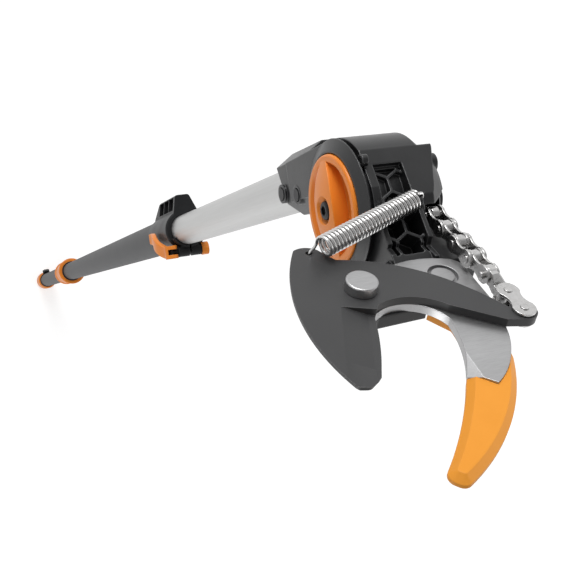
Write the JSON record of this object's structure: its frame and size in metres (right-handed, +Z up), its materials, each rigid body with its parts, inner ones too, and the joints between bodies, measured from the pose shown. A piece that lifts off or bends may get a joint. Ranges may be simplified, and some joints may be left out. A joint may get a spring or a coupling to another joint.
{
  "type": "telescoping tree pruner",
  "caption": "Two-tube telescoping pruner pole with a swivelling bypass head, roller chain drive, return spring, sliding pull handle and cam tube clamp.",
  "frame": {"origin": "middle of the flat end of the pole", "axes": "+Z up the pole, +X towards the side the head leans to, swivel lock knob on the -Y side"},
  "size_m": [0.1677, 0.1166, 2.4372],
  "materials": {
    "orange": "satin moulded plastic",
    "charcoal_plastic": "fine matt moulding",
    "dark_tube": "dark grey anodised",
    "satin_aluminium": "satin anodised",
    "blade_coating": "low friction dark grey coating",
    "brushed_steel": "ground and brushed",
    "dark_screw": "black oxide",
    "rubber": "soft",
    "webbing": "woven strap"
  },
  "bodies": {
    "lower_pole": {"lower_tube": "dark_tube", "end_knob": "orange", "end_pin": "brushed_steel", "end_ring": "charcoal_plastic", "clamp_collar": "charcoal_plastic", "pole_bush": "charcoal_plastic", "clamp_bolt": "brushed_steel"},
    "clamp_lever": {"clamp_lever": "orange"},
    "clamp_nut": {"clamp_nut": "orange"},
    "end_catch": {"end_catch": "charcoal_plastic"},
    "upper_pole": {"upper_tube": "satin_aluminium", "guide_sleeve": "charcoal_plastic", "neck_left": "charcoal_plastic", "neck_right": "charcoal_plastic", "neck_screws": "dark_screw", "swivel_bolt": "brushed_steel"},
    "lock_knob": {"lock_knob": "orange", "knob_screw": "dark_screw"},
    "handle": {"handle_grip": "orange", "handle_wiper": "rubber", "carriage": "charcoal_plastic", "carriage_key": "brushed_steel", "pull_strap": "webbing"},
    "drum": {"drum": "charcoal_plastic", "strap_wrap": "webbing"},
    "head": {"head_housing": "charcoal_plastic", "head_cover": "charcoal_plastic", "cover_screws": "dark_screw", "counter_blade": "brushed_steel", "plate_screw": "brushed_steel", "hook": "orange", "hook_screws": "dark_screw", "pivot_bolt": "brushed_steel", "pivot_nut": "brushed_steel", "return_spring": "brushed_steel"},
    "blade": {"blade": "blade_coating"},
    "chain": {"chain_inner_plates": "brushed_steel", "chain_outer_plates": "brushed_steel", "chain_rollers": "brushed_steel", "chain_pins": "brushed_steel", "chain_connector": "brushed_steel", "end_link": "brushed_steel", "end_link_pins": "brushed_steel"}
  },
  "joints": [
    {"name": "pole_telescope", "type": "slide", "parent": "lower_pole", "child": "upper_pole", "axis": [0, 0, 1], "range_m": [-0.32, 0.85]},
    {"name": "handle_pull", "type": "slide", "parent": "upper_pole", "child": "handle", "axis": [0, 0, -1], "range_m": [0, 0.11239], "stiffness_N_per_m": 120, "springref_m": -0.1},
    {"name": "head_swivel", "type": "hinge", "parent": "upper_pole", "child": "head", "pos_m": [0.0224, 0, 2.2957], "axis": [0, 1, 0], "range_deg": [-56, 77]},
    {"name": "lock_knob_turn", "type": "hinge", "parent": "upper_pole", "child": "lock_knob", "pos_m": [0.0224, 0, 2.2957], "axis": [0, 1, 0], "range_deg": [0, 180]},
    {"name": "drum_turn", "type": "hinge", "parent": "upper_pole", "child": "drum", "pos_m": [0.0224, 0, 2.2957], "axis": [0, -1, 0], "range_deg": [0, 289]},
    {"name": "blade_pivot", "type": "hinge", "parent": "head", "child": "blade", "pos_m": [0.06451, -0.0512, 2.3595], "axis": [-0.788, 0, 0.6157], "range_deg": [0, 48.1], "deforming": ["return_spring"]},
    {"name": "chain_pivot", "type": "hinge", "parent": "blade", "child": "chain", "pos_m": [0.08384, 0.0124, 2.38424], "axis": [-0.788, 0, 0.6157], "range_deg": [-48.1, 0]},
    {"name": "clamp_lever_swing", "type": "hinge", "parent": "lower_pole", "child": "clamp_lever", "pos_m": [0.02075, -0.0187, 1.87725], "axis": [-1, 0, 0], "range_deg": [0, 100]},
    {"name": "clamp_nut_turn", "type": "hinge", "parent": "lower_pole", "child": "clamp_nut", "pos_m": [0.02075, 0.015, 1.87725], "axis": [0, 1, 0], "continuous": true},
    {"name": "end_catch_swing", "type": "hinge", "parent": "lower_pole", "child": "end_catch", "pos_m": [-0.0257, 0, 0.097], "axis": [0, -1, 0], "range_deg": [0, 75]}
  ],
  "couplings": [
    {"joint": "drum_turn", "follows": "handle_pull", "rad_per_m": 44.643},
    {"joint": "blade_pivot", "follows": "handle_pull", "rad_per_m": 7.454},
    {"joint": "chain_pivot", "follows": "handle_pull", "rad_per_m": -7.454}
  ]
}
